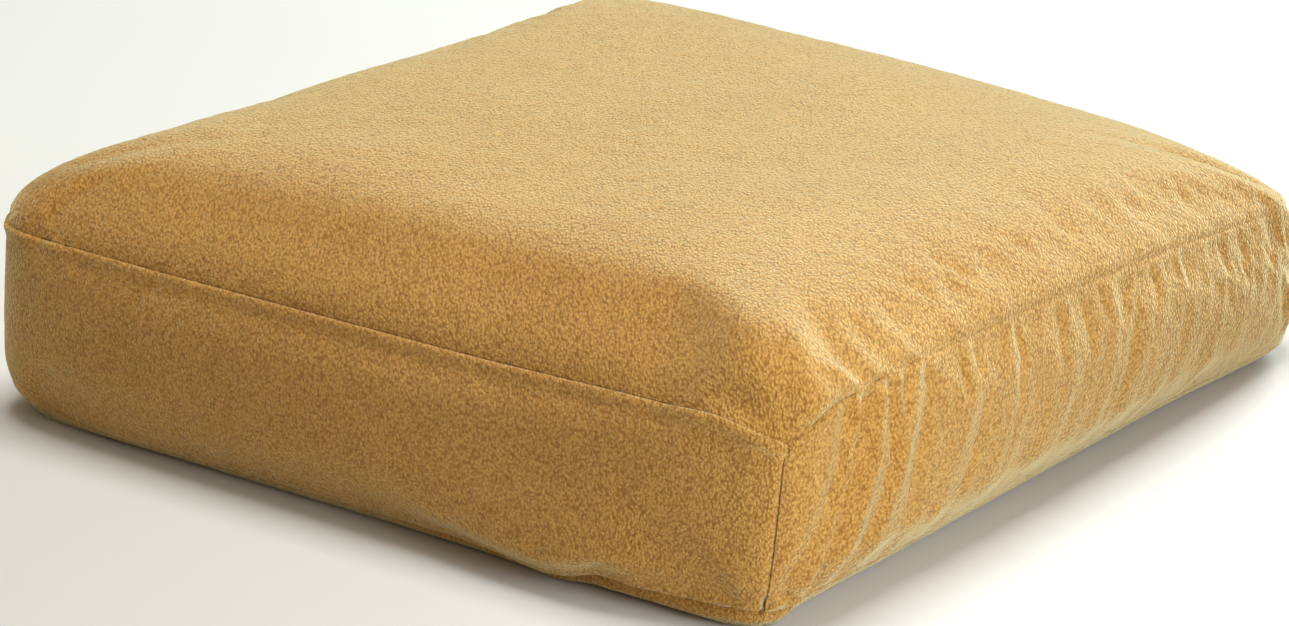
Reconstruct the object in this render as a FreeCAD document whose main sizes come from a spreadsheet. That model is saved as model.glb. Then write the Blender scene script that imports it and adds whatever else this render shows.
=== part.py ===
"""A boxed square floor cushion: a zipped cloth cover over a wrapped foam insert.

The cover is a top and a bottom panel joined by four upright boxing strips, which meet in a seam at
each corner. The rear strip is split by a zip, whose slider runs along X and carries a folding tab.
Inside are a thin case, two halves of polyester wadding and a foam block.

Frame: millimetres, +Z up, +X to the right of the front face, +Y towards the zip. The origin is on
the floor under the middle of the cushion.
"""

import FreeCAD
import Part
import Sketcher
import math
import os

DIMENSIONS = (
    # the cover
    ("side", 600, "seam to seam, across the cushion"),
    ("tall", 160, "floor to the top panel"),
    ("corner_radius", 45, "rounding of the four upright corners"),
    ("cloth", 1.6, "thickness of the cover's cloth"),
    ("low_seam", 14, "lower edge of the boxing"),
    ("high_seam", 112, "upper edge of the boxing"),
    ("seam_gap", 1, "space in a seam, which its thread fills"),
    ("allowance", 10, "width of the cloth turned in at a seam"),
    ("layer_gap", 0.2, "air between two layers of cloth"),
    ("top_round", 35, "roll of the top panel over its edge"),
    ("low_round", 11, "roll of the bottom panel over its edge"),
    ("seam_turn", 45, "angle round each corner at which its upright seam lies, in degrees"),
    ("seam_half_turn", 0.64, "half the seam's gap as an angle round the corner, in degrees"),
    ("thread", 0.8, "diameter of the sewing thread"),
    # the insert
    ("insert_gap", 6, "from the outside of the cover to the insert"),
    ("case_floor", 2, "height of the insert's underside"),
    ("case_cloth", 0.8, "thickness of the insert's case"),
    ("case_round", 33, "roll of the case over its upper edge"),
    ("case_low_round", 9, "roll of the case over its lower edge"),
    ("wadding", 12.5, "thickness of the polyester wadding"),
    ("wadding_split", 75, "height at which the two wadding halves meet"),
    ("clearance", 0.3, "air between one part of the insert and the next"),
    # the zip
    ("zip_height", 63, "height of the zip's centre line"),
    ("zip_window", 5.5, "from the centre line to each folded cloth edge"),
    ("window_end", 247, "from the middle of the cushion to each end of the zip's window"),
    ("join_gap", 0.15, "half the gap between the rear strips beyond the window"),
    ("stitch_line", 8, "from the centre line to each row of stitches beside the zip"),
    ("tape_end", 250, "from the middle of the cushion to each end of the tapes"),
    ("tape_width", 15, "from the centre line to a tape's outer edge"),
    ("tape", 0.7, "thickness of the zip tape"),
    ("tape_gap", 0.1, "air between the tape and the folded cloth"),
    ("tape_edge", 1.2, "from the centre line to a tape's inner edge"),
    ("coil_width", 3, "width of one half of the closed coil"),
    ("coil_depth", 2.6, "thickness of the coil"),
    ("coil_gap", 0.05, "half the gap between the closed halves of the coil"),
    ("coil_end", 238, "from the middle of the cushion to each end of the coil"),
    ("stop_length", 3, "length of a zip stop along the zip"),
    ("slider_rest", 2, "from the coil's end back to the middle of the closed slider"),
    ("slider_length", 11, "length of the slider"),
    ("slider_half", 4.8, "half width of the slider at its mouth"),
    ("slider_tail", 4.1, "half width of the slider at its tail"),
    ("plate", 1.2, "thickness of the slider's two plates"),
    ("running", 0.3, "running clearance of the slider"),
    ("post_start", 2.5, "from the slider's middle to the post that parts the coil"),
    ("post_length", 2.5, "length of the post along the zip"),
    ("bridge_length", 7.6, "length of the bridge that holds the tab"),
    ("bridge_width", 2, "width of the bridge"),
    ("bridge_wall", 1, "thickness of the bridge"),
    ("bridge_rise", 4.2, "height of the bridge over the upper plate"),
    ("pivot_rise", 1.4, "height of the tab's pivot over the upper plate"),
    ("pivot", 1.3, "diameter of the tab's pivot bar"),
    ("tab_length", 24, "length of the pull tab from its pivot"),
    ("tab_width", 7, "width of the pull tab"),
    ("tab", 1.2, "thickness of the pull tab"),
    ("tab_round", 2.5, "rounding of the tab's free corners"),
    ("eye_length", 4.9, "from the pivot to the far end of the tab's eye"),
    ("eye_width", 3.2, "width of the tab's eye"),
)


document = FreeCAD.newDocument("floor_cushion")
sheet = document.addObject("Spreadsheet::Sheet", "dims")
for row, (alias, number, meaning) in enumerate(DIMENSIONS, start=1):
    sheet.set(f"A{row}", alias)
    sheet.set(f"B{row}", str(number))
    sheet.set(f"C{row}", meaning)
    sheet.setAlias(f"B{row}", alias)
document.recompute()

# heights and depths that several pieces share, as expressions of the sheet
PANEL_SEAM_TOP = "(dims.high_seam + dims.seam_gap)"
PANEL_SEAM_LOW = "(dims.low_seam - dims.seam_gap)"
HEM = "(2 * dims.cloth)"
TURN_IN = "(3 * dims.cloth + dims.layer_gap)"
REAR = "(dims.side / 2)"
TAPE_OUT = f"({REAR} - {HEM} - dims.tape_gap)"
TAPE_IN = f"({TAPE_OUT} - dims.tape)"
COIL_OUT = f"({TAPE_OUT} + dims.coil_depth)"
SLIDER_X = "(dims.coil_end - dims.slider_rest)"
PLATE_IN = f"({COIL_OUT} + dims.running)"
PLATE_OUT = f"({PLATE_IN} + dims.plate)"
LOWER_PLATE_OUT = f"({TAPE_IN} - dims.running)"
PIVOT_Y = f"({PLATE_OUT} + dims.pivot_rise)"
INSERT_SIDE = "(dims.side - 2 * dims.insert_gap)"
INSERT_RADIUS = "(dims.corner_radius - dims.insert_gap)"
INSERT_TOP = "(dims.tall - dims.case_floor)"
CASE_SKIN = "(dims.case_cloth + dims.clearance)"

parts = []


def value(formula):
    """The present value of an expression, for a sketch's first shape and for finding faces."""
    return float(sheet.evalExpression(formula))


def new_body(label):
    """An empty body that will become one piece of the cushion."""
    body = document.addObject("PartDesign::Body", label)
    body.Label = label
    parts.append(body)
    return body


def new_sketch(body, role, **offsets):
    """A sketch on one of the body's own planes, moved along the plane's axes by expressions."""
    sketch = body.newObject("Sketcher::SketchObject", "sketch")
    plane = next(feature for feature in body.Origin.OriginFeatures if feature.Role == role)
    sketch.AttachmentSupport = [(plane, "")]
    sketch.MapMode = "FlatFace"
    for axis, formula in offsets.items():
        sketch.setExpression(f"AttachmentOffset.Base.{axis}", formula)
    return sketch


def limit(sketch, kind, *where_and_formula):
    """A driving dimension of a sketch, bound to an expression."""
    *where, formula = where_and_formula
    index = sketch.addConstraint(Sketcher.Constraint(kind, *where, value(formula)))
    sketch.setExpression(f"Constraints[{index}]", formula)


def corner(x, y):
    """A point of a sketch, from two expressions."""
    return FreeCAD.Vector(value(x), value(y), 0)


def draw_rounded_square(sketch, side, radius):
    """A square about the sketch's origin with rounded corners."""
    half = value(side) / 2
    round_by = value(radius)
    first = sketch.GeometryCount
    for quarter in range(4):
        turn = FreeCAD.Rotation(FreeCAD.Vector(0, 0, 1), 90 * quarter)
        start = turn.multVec(FreeCAD.Vector(half, round_by - half, 0))
        end = turn.multVec(FreeCAD.Vector(half, half - round_by, 0))
        centre = turn.multVec(FreeCAD.Vector(half - round_by, half - round_by, 0))
        circle = Part.Circle(centre, FreeCAD.Vector(0, 0, 1), round_by)
        angle = math.radians(90 * quarter)
        sketch.addGeometry(Part.LineSegment(start, end), False)
        sketch.addGeometry(Part.ArcOfCircle(circle, angle, angle + math.pi / 2), False)
    for quarter in range(4):
        line = first + 2 * quarter
        arc = line + 1
        next_line = first + (2 * quarter + 2) % 8
        sketch.addConstraint(Sketcher.Constraint("Tangent", line, 2, arc, 1))
        sketch.addConstraint(Sketcher.Constraint("Tangent", arc, 2, next_line, 1))
        sketch.addConstraint(Sketcher.Constraint("Horizontal" if quarter % 2 else "Vertical", line))
        if quarter:
            sketch.addConstraint(Sketcher.Constraint("Equal", first + 1, arc))
    sketch.addConstraint(Sketcher.Constraint("Symmetric", first + 1, 3, first + 5, 3, -1, 1))
    limit(sketch, "Radius", first + 1, radius)
    limit(sketch, "DistanceX", first + 3, 3, first + 1, 3, f"{side} - 2 * {radius}")
    limit(sketch, "DistanceY", first + 7, 3, first + 1, 3, f"{side} - 2 * {radius}")


def draw_outline(sketch, points):
    """A closed outline of straight lines through points given as pairs of expressions."""
    first = sketch.GeometryCount
    count = len(points)
    for place in range(count):
        line = Part.LineSegment(corner(*points[place]), corner(*points[(place + 1) % count]))
        sketch.addGeometry(line, False)
    for place, (x, y) in enumerate(points):
        line = first + place
        sketch.addConstraint(Sketcher.Constraint("Coincident", line, 2, first + (place + 1) % count, 1))
        limit(sketch, "DistanceX", -1, 1, line, 1, x)
        limit(sketch, "DistanceY", -1, 1, line, 1, y)


def draw_box(sketch, left, right, low, high):
    """An upright rectangle."""
    draw_outline(sketch, [(left, low), (right, low), (right, high), (left, high)])


def draw_circle(sketch, x, y, diameter):
    """A full circle."""
    circle = Part.Circle(corner(x, y), FreeCAD.Vector(0, 0, 1), value(diameter) / 2)
    ring = sketch.addGeometry(circle, False)
    limit(sketch, "DistanceX", -1, 1, ring, 3, x)
    limit(sketch, "DistanceY", -1, 1, ring, 3, y)
    limit(sketch, "Diameter", ring, diameter)


def draw_wall(sketch, thick):
    """The plan of a front strip: a straight wall that turns a little way round both its corners."""
    axis = value("dims.side / 2 - dims.corner_radius")
    outer = value("dims.corner_radius")
    inner = outer - value(thick)
    ends = {1: value("dims.seam_turn - dims.seam_half_turn"),
            -1: value("90 - dims.seam_turn - dims.seam_half_turn")}

    def arc(side, radius):
        circle = Part.Circle(FreeCAD.Vector(side * axis, -axis, 0), FreeCAD.Vector(0, 0, 1), radius)
        low, high = sorted((-90, -90 + side * ends[side]))
        return Part.ArcOfCircle(circle, math.radians(low), math.radians(high))

    def tip(side, radius):
        turn = math.radians(ends[side])
        return FreeCAD.Vector(side * (axis + radius * math.sin(turn)), -axis - radius * math.cos(turn), 0)

    down = FreeCAD.Vector(0, -1, 0)
    right = FreeCAD.Vector(axis, -axis, 0)
    left = FreeCAD.Vector(-axis, -axis, 0)
    shapes = [Part.LineSegment(left + down * outer, right + down * outer),
              arc(1, outer),
              Part.LineSegment(tip(1, outer), tip(1, inner)),
              arc(1, inner),
              Part.LineSegment(right + down * inner, left + down * inner),
              arc(-1, inner),
              Part.LineSegment(tip(-1, inner), tip(-1, outer)),
              arc(-1, outer)]
    for shape in shapes:
        sketch.addGeometry(shape, False)
    for first, second in (((0, 2), (1, 1)), ((0, 1), (7, 2)), ((4, 1), (3, 1)), ((4, 2), (5, 2))):
        sketch.addConstraint(Sketcher.Constraint("Tangent", *first, *second))
    for first, second in (((1, 3), (3, 3)), ((7, 3), (5, 3)), ((2, 1), (1, 2)), ((2, 2), (3, 2)),
                          ((6, 1), (5, 1)), ((6, 2), (7, 1))):
        sketch.addConstraint(Sketcher.Constraint("Coincident", *first, *second))
    sketch.addConstraint(Sketcher.Constraint("PointOnObject", 1, 3, 2))
    sketch.addConstraint(Sketcher.Constraint("PointOnObject", 7, 3, 6))
    sketch.addConstraint(Sketcher.Constraint("Equal", 1, 7))
    sketch.addConstraint(Sketcher.Constraint("Equal", 3, 5))
    sketch.addConstraint(Sketcher.Constraint("Symmetric", 7, 3, 1, 3, -2))
    limit(sketch, "Radius", 1, "dims.corner_radius")
    limit(sketch, "Radius", 3, f"dims.corner_radius - {thick}")
    limit(sketch, "DistanceX", -1, 1, 1, 3, "dims.side / 2 - dims.corner_radius")
    limit(sketch, "DistanceY", 1, 3, -1, 1, "dims.side / 2 - dims.corner_radius")
    limit(sketch, "DistanceX", 1, 3, 1, 2,
          "dims.corner_radius * sin(dims.seam_turn - dims.seam_half_turn)")
    limit(sketch, "DistanceX", 7, 1, 7, 3,
          "dims.corner_radius * cos(dims.seam_turn + dims.seam_half_turn)")


def extrude(body, sketch, length, kind="Pad", reverse=False):
    """A pad or a pocket of a sketch, with its length bound to an expression."""
    feature = body.newObject(f"PartDesign::{kind}", kind.lower())
    feature.Profile = sketch
    feature.setExpression("Length", length)
    feature.Reversed = reverse
    document.recompute()
    return feature


def round_edges(body, base, radius, chosen):
    """Rounds those edges of a feature that a test picks."""
    names = [f"Edge{place}" for place, edge in enumerate(base.Shape.Edges, start=1) if chosen(edge)]
    fillet = body.newObject("PartDesign::Fillet", "fillet")
    fillet.Base = (base, names)
    fillet.setExpression("Radius", radius)
    document.recompute()
    return fillet


def at_height(height):
    """A test for edges and faces that lie level at one height."""
    def lies_there(shape):
        points = [vertex.Z for vertex in shape.Vertexes]
        return all(abs(z - value(height)) < 1e-6 for z in points)
    return lies_there


def shallow_box(label, side, radius, seam, outer, roll):
    """A solid from a seam to a rounded outer face, above the seam or below it."""
    body = new_body(label)
    sketch = new_sketch(body, "XY_Plane", z=seam)
    draw_rounded_square(sketch, side, radius)
    below = value(outer) < value(seam)
    length = f"{seam} - {outer}" if below else f"{outer} - {seam}"
    block = extrude(body, sketch, length, reverse=below)
    return body, round_edges(body, block, roll, at_height(outer))


def skin(body, base, seam, thick):
    """Hollows a shallow box from its seam, leaving cloth of one thickness."""
    is_open = at_height(seam)
    names = [f"Face{place}" for place, face in enumerate(base.Shape.Faces, start=1) if is_open(face)]
    hollow = body.newObject("PartDesign::Thickness", "thickness")
    hollow.Base = (base, names)
    hollow.setExpression("Value", thick)
    hollow.Reversed = True
    document.recompute()


def cover_panel(label, seam, outer, roll):
    """The top or the bottom of the cover, with its seam allowance turned in beside the boxing."""
    body, base = shallow_box(label, "dims.side", "dims.corner_radius", seam, outer, roll)
    skin(body, base, seam, "dims.cloth")
    below = value(outer) < value(seam)
    inner_side = f"(dims.side - 2 * {TURN_IN})"
    inner_radius = f"(dims.corner_radius - {TURN_IN})"
    fold = new_sketch(body, "XY_Plane", z=seam)
    draw_rounded_square(fold, "(dims.side - dims.cloth)", "(dims.corner_radius - dims.cloth / 2)")
    draw_rounded_square(fold, inner_side, inner_radius)
    extrude(body, fold, "dims.cloth", reverse=below)
    hem = new_sketch(body, "XY_Plane", z=seam)
    draw_rounded_square(hem, f"({inner_side} + 2 * dims.cloth)", f"({inner_radius} + dims.cloth)")
    draw_rounded_square(hem, inner_side, inner_radius)
    extrude(body, hem, "dims.allowance", reverse=not below)


def boxing_strip(label, quarter_turns, low, high, low_hem, high_hem):
    """One upright strip of the cover. Its folded edges are twice as thick as its middle."""
    body = new_body(label)
    wall = new_sketch(body, "XY_Plane", z=low)
    draw_wall(wall, "dims.cloth")
    extrude(body, wall, f"{high} - {low}")
    for foot, wanted in ((low, low_hem), (f"({high} - dims.allowance)", high_hem)):
        if wanted:
            hem = new_sketch(body, "XY_Plane", z=foot)
            draw_wall(hem, HEM)
            extrude(body, hem, "dims.allowance")
    body.Placement.Rotation = FreeCAD.Rotation(FreeCAD.Vector(0, 0, 1), 90 * quarter_turns)
    return body


def rear_strip(label, low, high, window_low, window_high, fold_low):
    """A boxing strip beside the zip. The zip's window is cut into it and edged with a fold."""
    is_upper = value(low) > value("dims.low_seam")
    body = boxing_strip(label, 2, low, high, not is_upper, is_upper)
    fold = new_sketch(body, "XZ_Plane", z=f"{REAR} - {HEM}")
    draw_box(fold, "-dims.window_end", "dims.window_end", fold_low, f"{fold_low} + dims.allowance")
    extrude(body, fold, "dims.cloth * 1.5")
    window = new_sketch(body, "XZ_Plane", z=f"{REAR} - 2 * {HEM}")
    draw_box(window, "-dims.window_end", "dims.window_end", window_low, window_high)
    extrude(body, window, f"3 * {HEM}", kind="Pocket", reverse=True)


def thread_ring(label, height):
    """The thread that closes the seam all round one panel."""
    body = new_body(label)
    path = new_sketch(body, "XY_Plane", z=height)
    draw_rounded_square(path, "(dims.side - dims.cloth)", "(dims.corner_radius - dims.cloth / 2)")
    section = new_sketch(body, "XZ_Plane")
    draw_circle(section, "(dims.side - dims.cloth) / 2", height, "dims.thread")
    document.recompute()
    pipe = body.newObject("PartDesign::AdditivePipe", "pipe")
    pipe.Profile = section
    pipe.Spine = (path, [f"Edge{place}" for place in range(1, 9)])


def corner_threads():
    """The thread of the four upright corner seams."""
    body = new_body("corner_seam_threads")
    across = "(dims.corner_radius - dims.cloth / 2)"
    axis = "dims.side / 2 - dims.corner_radius"
    section = new_sketch(body, "XY_Plane", z="dims.low_seam")
    draw_circle(section, f"{axis} + {across} * sin(dims.seam_turn)",
                f"-({axis}) - {across} * cos(dims.seam_turn)", "dims.thread")
    pad = extrude(body, section, "dims.high_seam - dims.low_seam")
    repeat = body.newObject("PartDesign::PolarPattern", "repeat")
    repeat.Originals = [pad]
    axis_line = next(feature for feature in body.Origin.OriginFeatures if feature.Role == "Z_Axis")
    repeat.Axis = (axis_line, [""])
    repeat.Angle = 360
    repeat.Occurrences = 4
    body.Tip = repeat


def rear_slab(label, inner, outer, boxes):
    """Flat pieces in the rear wall, between two depths, each box as left, right, low and high."""
    body = new_body(label)
    face = new_sketch(body, "XZ_Plane", z=f"-({inner})")
    for box in boxes:
        draw_box(face, *box)
    extrude(body, face, f"{outer} - {inner}", reverse=True)
    return body


def zip_pieces():
    """Tapes, coil halves, stops and stitching, above and below the zip's centre line."""
    end = "dims.coil_end"
    for name, sign in (("upper", "+"), ("lower", "-")):
        def span(near, far):
            places = [f"dims.zip_height {sign} {near}", f"dims.zip_height {sign} {far}"]
            return places if sign == "+" else places[::-1]
        rear_slab(f"zipper_tape_{name}", TAPE_IN, TAPE_OUT,
                  [("-dims.tape_end", "dims.tape_end", *span("dims.tape_edge", "dims.tape_width"))])
        rear_slab(f"zipper_coil_{name}", TAPE_OUT, COIL_OUT,
                  [(f"-{end}", end, *span("dims.coil_gap", "dims.coil_width"))])
    stop_x = f"({SLIDER_X} + dims.slider_length / 2 + dims.running)"
    rear_slab("zipper_top_stops", TAPE_OUT, COIL_OUT,
              [(stop_x, f"{stop_x} + dims.stop_length", f"dims.zip_height {sign} dims.{near}",
                f"dims.zip_height {sign} dims.{far}")
               for sign, near, far in (("+", "tape_edge", "coil_width"), ("-", "coil_width", "tape_edge"))])
    rear_slab("zipper_bottom_stop", TAPE_OUT, COIL_OUT,
              [(f"-{end} - dims.stop_length", f"-{end}",
                "dims.zip_height - dims.coil_width", "dims.zip_height + dims.coil_width")])
    rear_slab("zipper_stitching", REAR, f"{REAR} + dims.thread / 2",
              [("-dims.window_end", "dims.window_end", f"dims.zip_height {place} - dims.thread / 2",
                f"dims.zip_height {place} + dims.thread / 2")
               for place in ("+ dims.stitch_line", "- dims.stitch_line")])


def zip_slider():
    """The slider: two tapered plates, two side flanges, the post between them and the tab's bridge."""
    body = new_body("zipper_slider")
    height = "dims.zip_height"
    tail = f"({SLIDER_X} - dims.slider_length / 2)"
    mouth = f"({SLIDER_X} + dims.slider_length / 2)"
    flange = "(dims.coil_width + dims.running)"

    def add(depth_in, depth_out, points):
        face = new_sketch(body, "XZ_Plane", z=f"-({depth_in})")
        draw_outline(face, points)
        return extrude(body, face, f"{depth_out} - {depth_in}", reverse=True)

    plate = [(tail, f"{height} - dims.slider_tail"), (mouth, f"{height} - dims.slider_half"),
             (mouth, f"{height} + dims.slider_half"), (tail, f"{height} + dims.slider_tail")]
    post_start = f"({SLIDER_X} + dims.post_start)"
    post_end = f"({post_start} + dims.post_length)"
    half_post = "(dims.tape_edge - dims.running)"
    add(PLATE_IN, PLATE_OUT, plate)
    add(f"({LOWER_PLATE_OUT} - dims.plate)", LOWER_PLATE_OUT, plate)
    add(LOWER_PLATE_OUT, PLATE_IN,
        [(post_start, f"{height} - {half_post}"), (post_end, f"{height} - {half_post}"),
         (post_end, f"{height} + {half_post}"), (post_start, f"{height} + {half_post}")])
    for sign in ("+", "-"):
        edge = [(tail, f"{height} {sign} {flange}"), (mouth, f"{height} {sign} {flange}"),
                (mouth, f"{height} {sign} dims.slider_half"), (tail, f"{height} {sign} dims.slider_tail")]
        add(f"({TAPE_OUT} + dims.running)", PLATE_IN, edge if sign == "+" else edge[::-1])
    bridge = new_sketch(body, "XY_Plane", z=f"{height} - dims.bridge_width / 2")
    left = f"{SLIDER_X} - dims.bridge_length / 2"
    right = f"{SLIDER_X} + dims.bridge_length / 2"
    top = f"{PLATE_OUT} + dims.bridge_rise"
    draw_outline(bridge, [(left, PLATE_OUT), (f"{left} + dims.bridge_wall", PLATE_OUT),
                          (f"{left} + dims.bridge_wall", f"{top} - dims.bridge_wall"),
                          (f"{right} - dims.bridge_wall", f"{top} - dims.bridge_wall"),
                          (f"{right} - dims.bridge_wall", PLATE_OUT), (right, PLATE_OUT),
                          (right, top), (left, top)])
    extrude(body, bridge, "dims.bridge_width")


def pull_tab():
    """The pull tab: a flat plate with an eye for the bridge, and a round pivot bar across the eye."""
    body = new_body("zipper_pull_tab")
    height = "dims.zip_height"
    plate = new_sketch(body, "XZ_Plane", z=f"-({PIVOT_Y} - dims.tab / 2)")
    draw_box(plate, f"{SLIDER_X} - dims.tab_length", f"{SLIDER_X} + dims.pivot / 2",
             f"{height} - dims.tab_width / 2", f"{height} + dims.tab_width / 2")
    blank = extrude(body, plate, "dims.tab", reverse=True)

    def is_far_corner(edge):
        return abs(edge.Length - value("dims.tab")) < 1e-6 and edge.BoundBox.XMax < value(SLIDER_X) - 1
    round_edges(body, blank, "dims.tab_round", is_far_corner)
    eye = new_sketch(body, "XZ_Plane", z=f"-({PIVOT_Y} - dims.tab)")
    draw_box(eye, f"{SLIDER_X} - dims.eye_length", f"{SLIDER_X} + dims.pivot",
             f"{height} - dims.eye_width / 2", f"{height} + dims.eye_width / 2")
    extrude(body, eye, "2 * dims.tab", kind="Pocket")
    bar = new_sketch(body, "XY_Plane", z=f"{height} - dims.tab_width / 2")
    draw_circle(bar, SLIDER_X, PIVOT_Y, "dims.pivot")
    extrude(body, bar, "dims.tab_width")


def insert_pieces():
    """The foam block, the two halves of its wadding and the thin case round them."""
    for label, seam, outer, roll in (
            ("insert_case_top", PANEL_SEAM_TOP, INSERT_TOP, "dims.case_round"),
            ("insert_case_bottom", PANEL_SEAM_LOW, "dims.case_floor", "dims.case_low_round")):
        body, base = shallow_box(label, INSERT_SIDE, INSERT_RADIUS, seam, outer, roll)
        skin(body, base, seam, "dims.case_cloth")
    band = new_body("insert_case_band")
    plan = new_sketch(band, "XY_Plane", z=PANEL_SEAM_LOW)
    draw_rounded_square(plan, INSERT_SIDE, INSERT_RADIUS)
    draw_rounded_square(plan, f"({INSERT_SIDE} - 2 * dims.case_cloth)",
                        f"({INSERT_RADIUS} - dims.case_cloth)")
    extrude(band, plan, f"{PANEL_SEAM_TOP} - {PANEL_SEAM_LOW}")

    side = f"({INSERT_SIDE} - 2 * {CASE_SKIN})"
    radius = f"({INSERT_RADIUS} - {CASE_SKIN})"
    cavity_side = f"({side} - 2 * dims.wadding)"
    cavity_radius = f"({radius} - dims.wadding)"
    low = f"(dims.case_floor + {CASE_SKIN})"
    high = f"({INSERT_TOP} - {CASE_SKIN})"
    for label, outer, roll in (
            ("wadding_top", high, f"dims.case_round - {CASE_SKIN}"),
            ("wadding_bottom", low, f"dims.case_low_round - {CASE_SKIN}")):
        body, base = shallow_box(label, side, radius, "dims.wadding_split", outer, roll)
        cavity = new_sketch(body, "XY_Plane", z="dims.wadding_split")
        draw_rounded_square(cavity, cavity_side, cavity_radius)
        below = label == "wadding_bottom"
        depth = f"dims.wadding_split - {outer}" if below else f"{outer} - dims.wadding_split"
        extrude(body, cavity, f"{depth} - dims.wadding", kind="Pocket", reverse=not below)

    foam = new_body("foam_core")
    plan = new_sketch(foam, "XY_Plane", z=f"{low} + dims.wadding + dims.clearance")
    draw_rounded_square(plan, f"({cavity_side} - 2 * dims.clearance)",
                        f"({cavity_radius} - dims.clearance)")
    extrude(foam, plan, f"{high} - {low} - 2 * (dims.wadding + dims.clearance)")


def check_and_export():
    """Stops if any object failed or any piece isn't a valid solid, then writes the pieces."""
    document.recompute()
    failed = [item.Name for item in document.Objects if {"Invalid", "Error"} & set(item.State)]
    if failed:
        raise RuntimeError(f"failed objects: {failed}")
    for body in parts:
        if body.Shape.isNull() or not body.Shape.isValid() or not body.Shape.Solids:
            raise RuntimeError(f"bad shape: {body.Label}")
    os.makedirs("parts", exist_ok=True)
    for body in parts:
        body.Shape.exportStep(f"parts/{body.Label}.step")


cover_panel("top_panel", PANEL_SEAM_TOP, "dims.tall", "dims.top_round")
cover_panel("bottom_panel", PANEL_SEAM_LOW, "0", "dims.low_round")
for turns, place in ((0, "front"), (1, "right"), (3, "left")):
    boxing_strip(f"{place}_boxing", turns, "dims.low_seam", "dims.high_seam", True, True)
rear_strip("rear_boxing_upper", "(dims.zip_height + dims.join_gap)", "dims.high_seam",
           "dims.zip_height", "dims.zip_height + dims.zip_window", "dims.zip_height + dims.zip_window")
rear_strip("rear_boxing_lower", "dims.low_seam", "(dims.zip_height - dims.join_gap)",
           "dims.zip_height - dims.zip_window", "dims.zip_height",
           "dims.zip_height - dims.zip_window - dims.allowance")
thread_ring("top_seam_thread", "dims.high_seam + dims.seam_gap / 2")
thread_ring("bottom_seam_thread", "dims.low_seam - dims.seam_gap / 2")
corner_threads()
zip_pieces()
zip_slider()
pull_tab()
insert_pieces()
check_and_export()
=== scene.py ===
"""Looks of a boxed square floor cushion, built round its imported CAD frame.

The cover is drawn as grids of points: a top, four boxing sides and a bottom that share their edge
rows. A cloth simulation swells and puckers the whole cover. The grids are then refined, pulled in at
their seams, and cut into separate panels with the thickness of real cloth. Lengths are in metres.
"""

import math

import bpy
import numpy as np
from mathutils import Matrix, Vector


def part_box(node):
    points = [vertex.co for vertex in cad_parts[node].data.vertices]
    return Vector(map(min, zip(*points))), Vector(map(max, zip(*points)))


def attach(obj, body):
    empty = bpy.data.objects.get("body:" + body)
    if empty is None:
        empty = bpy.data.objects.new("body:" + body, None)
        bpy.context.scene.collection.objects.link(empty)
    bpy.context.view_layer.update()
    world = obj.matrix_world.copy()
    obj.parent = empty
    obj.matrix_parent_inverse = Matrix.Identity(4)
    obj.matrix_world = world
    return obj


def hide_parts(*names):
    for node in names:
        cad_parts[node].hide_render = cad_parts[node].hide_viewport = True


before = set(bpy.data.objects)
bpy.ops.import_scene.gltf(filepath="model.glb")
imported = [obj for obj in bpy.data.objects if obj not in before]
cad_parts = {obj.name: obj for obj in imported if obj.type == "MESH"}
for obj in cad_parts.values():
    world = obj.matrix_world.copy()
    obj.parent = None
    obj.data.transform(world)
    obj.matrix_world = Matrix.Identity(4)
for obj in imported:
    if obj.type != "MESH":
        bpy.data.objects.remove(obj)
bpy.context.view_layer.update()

MM = 0.001
TAU = 2 * math.pi

# places and sizes that come from the frame
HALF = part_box("top_panel")[1].x
SEAM_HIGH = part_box("front_boxing")[1].z + 0.5 * MM
SEAM_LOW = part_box("front_boxing")[0].z - 0.5 * MM
ZIP_Z = (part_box("zipper_tape_upper")[0].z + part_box("zipper_tape_lower")[1].z) / 2
ZIP_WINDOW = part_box("zipper_coil_upper")[1].z - ZIP_Z + 2.5 * MM
ZIP_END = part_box("zipper_coil_upper")[1].x

# the four sides: how far each is turned about Z, as a cosine and a sine
FRONT, RIGHT, REAR, LEFT = range(4)
SIDE_NAMES = ("front", "right", "rear", "left")
SIDE_TURNS = ((1, 0), (0, 1), (-1, 0), (0, -1))

# the cover's shape
CORNERS = (46 * MM, 26 * MM, 44 * MM, 48 * MM)     # each side's first corner: its radius
ROLLS = (120 * MM, 110 * MM, 90 * MM, 100 * MM)    # how far in each side's rolled edge reaches
ROLL_RISE = 43.5 * MM         # how far the rolled edge rises over the seam
ROLL_POWER = 2.3              # a fuller curve than a circle's 2
CROWN = 5 * MM
BELLY = 4.8 * MM
LOW_ROLL = 12 * MM
COUNT = 104                   # grid cells along one side of the cover
ROWS = 20                     # grid cells up the boxing

# cloth and thread
CLOTH = 1.6 * MM
TAPE = 0.5 * MM
CASE = 0.8 * MM
CASE_DEPTH = 4.4 * MM         # from the cover's outside to the case
STITCH = 2.6 * MM
STITCH_PITCH = 3.6 * MM
THREAD = 0.42 * MM            # the thread's radius
ALLOWANCE = 20 * MM           # the cloth turned in at both edges of a panel
INSERT_SIDE = 588 * MM

# how far the used cushion has settled out of square at each corner: at the floor along X and Y, then
# at the top along X, Y and up
SETTLED = {
    (1, -1): (-17, -3, -1, -3, 5),
    (1, 1): (-4, 0, -12, 0, -19),
    (-1, 1): (14, 0, 14, 0, 9),
    (-1, -1): (4, -13, 12, -14, 6),
}


# ---- numbers

def smooth(x):
    """0 below 0, 1 above 1, and an even slope between."""
    x = np.clip(x, 0, 1)
    return x * x * (3 - 2 * x)


def bump(x):
    """A rounded hump of height 1 at 0."""
    return np.exp(-np.square(x))


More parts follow.
